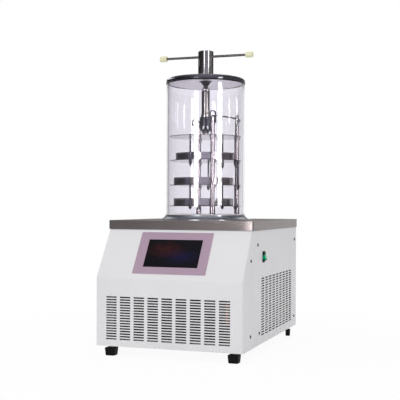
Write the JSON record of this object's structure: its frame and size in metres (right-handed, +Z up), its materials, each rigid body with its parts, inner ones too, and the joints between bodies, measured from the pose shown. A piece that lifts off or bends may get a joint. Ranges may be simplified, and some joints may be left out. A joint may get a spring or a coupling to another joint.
{
  "type": "freeze dryer",
  "caption": "Bench-top freeze dryer: slant-front cabinet with cold trap, clear drying chamber over it, shelf rack with trays, and a lid with a screw press.",
  "frame": {"origin": "on the bench, under the middle of the whole envelope, rear pipe stub included", "axes": "+Z up along the drying chamber, +X towards the side with the power switch, -Y towards the slanted front with the touch screen"},
  "size_m": [0.4767, 0.6946, 0.9685],
  "materials": {
    "cover_paint": "fine powder coat",
    "deck_steel": "satin stainless",
    "bright_steel": "polished stainless",
    "rack_steel": "bright drawn stainless",
    "tray_steel": "drawn stainless",
    "trap_steel": "drawn stainless",
    "frame_steel": "galvanised",
    "clear_acrylic": "clear cast tube",
    "gasket_rubber": "moulded, satin",
    "foot_rubber": "moulded, matt",
    "label_film": "satin film",
    "screen_black": "glossy glass over a dark display",
    "black_plastic": "moulded, satin",
    "switch_green": "clear moulded",
    "grip_plastic": "moulded, glossy",
    "foam": "rigid foam",
    "compressor_paint": "black enamel",
    "fin_aluminium": "mill finish",
    "fan_plastic": "moulded",
    "copper": "drawn copper",
    "board_green": "circuit board",
    "valve_brass": "nickelled brass"
  },
  "bodies": {
    "cabinet": {"front_cover": "cover_paint", "side_panel_right": "cover_paint", "side_panel_left": "cover_paint", "rear_panel": "cover_paint", "base_pan": "frame_steel", "inner_frame": "frame_steel", "worktop": "deck_steel", "feet": "foot_rubber", "label_plate": "label_film", "screen_glass": "screen_black", "screen_housing": "black_plastic", "switch_bezel": "black_plastic", "vacuum_port": "bright_steel", "power_inlet": "black_plastic", "pump_outlet": "black_plastic", "drain_valve": "valve_brass", "trap_well": "trap_steel", "trap_insulation": "foam", "base_flange": "bright_steel", "base_gasket": "gasket_rubber", "compressor": "compressor_paint", "compressor_mounts": "foot_rubber", "condenser": "fin_aluminium", "fan_shroud": "frame_steel", "fan_motor": "frame_steel", "filter_drier": "copper", "suction_pipe": "copper", "control_board": "board_green", "chamber_tube": "clear_acrylic", "lid_gasket": "gasket_rubber", "lid": "bright_steel", "press_gland": "bright_steel", "rack_base": "rack_steel", "rack_brace": "rack_steel", "rack_post_front": "rack_steel", "rack_post_right": "rack_steel", "rack_post_rear": "rack_steel", "shelf_lower": "rack_steel", "tray_lower": "tray_steel"},
    "press_ram": {"ram_tube": "bright_steel", "ram_head": "rack_steel"},
    "press_handle": {"press_column": "bright_steel", "press_screw": "rack_steel", "handle_bar": "bright_steel", "handle_caps": "grip_plastic"},
    "press_plate_set": {"press_plate": "rack_steel", "hanger_rods_a": "rack_steel"},
    "shelf_upper_set": {"shelf_upper": "rack_steel", "tray_upper": "tray_steel", "hanger_rods_b": "rack_steel"},
    "shelf_middle_set": {"shelf_middle": "rack_steel", "tray_middle": "tray_steel", "hanger_rods_c": "rack_steel"},
    "power_switch": {"switch_rocker": "switch_green"},
    "fan": {"fan_blade": "fan_plastic"},
    "valve_lever": {"drain_lever": "bright_steel"}
  },
  "joints": [
    {"name": "press_down", "type": "slide", "parent": "cabinet", "child": "press_ram", "axis": [0, 0, 1], "range_m": [-0.01802, 0]},
    {"name": "handle_turn", "type": "hinge", "parent": "press_ram", "child": "press_handle", "pos_m": [0, -0.008, 0.93], "axis": [0, 0, 1], "range_deg": [-2160, 0]},
    {"name": "press_plate_down", "type": "slide", "parent": "cabinet", "child": "press_plate_set", "axis": [0, 0, 1], "range_m": [-0.01802, 0]},
    {"name": "shelf_upper_down", "type": "slide", "parent": "cabinet", "child": "shelf_upper_set", "axis": [0, 0, 1], "range_m": [-0.01202, 0]},
    {"name": "shelf_middle_down", "type": "slide", "parent": "cabinet", "child": "shelf_middle_set", "axis": [0, 0, 1], "range_m": [-0.00602, 0]},
    {"name": "switch_tip", "type": "hinge", "parent": "cabinet", "child": "power_switch", "pos_m": [0.2295, -0.127, 0.298], "axis": [0, 1, 0], "range_deg": [0, 22]},
    {"name": "fan_spin", "type": "hinge", "parent": "cabinet", "child": "fan", "pos_m": [0.1705, 0.0485, 0.12975], "axis": [1, 0, 0], "continuous": true},
    {"name": "drain_lever_turn", "type": "hinge", "parent": "cabinet", "child": "valve_lever", "pos_m": [0.07, 0.3273, 0.1142], "axis": [0, 0, 1], "range_deg": [0, 90]}
  ],
  "couplings": [
    {"joint": "press_down", "follows": "handle_turn", "m_per_rad": 0.00047746},
    {"joint": "press_plate_down", "follows": "handle_turn", "m_per_rad": 0.00047746},
    {"joint": "shelf_upper_down", "follows": "handle_turn", "m_per_rad": 0.00031831},
    {"joint": "shelf_middle_down", "follows": "handle_turn", "m_per_rad": 0.00015915}
  ]
}
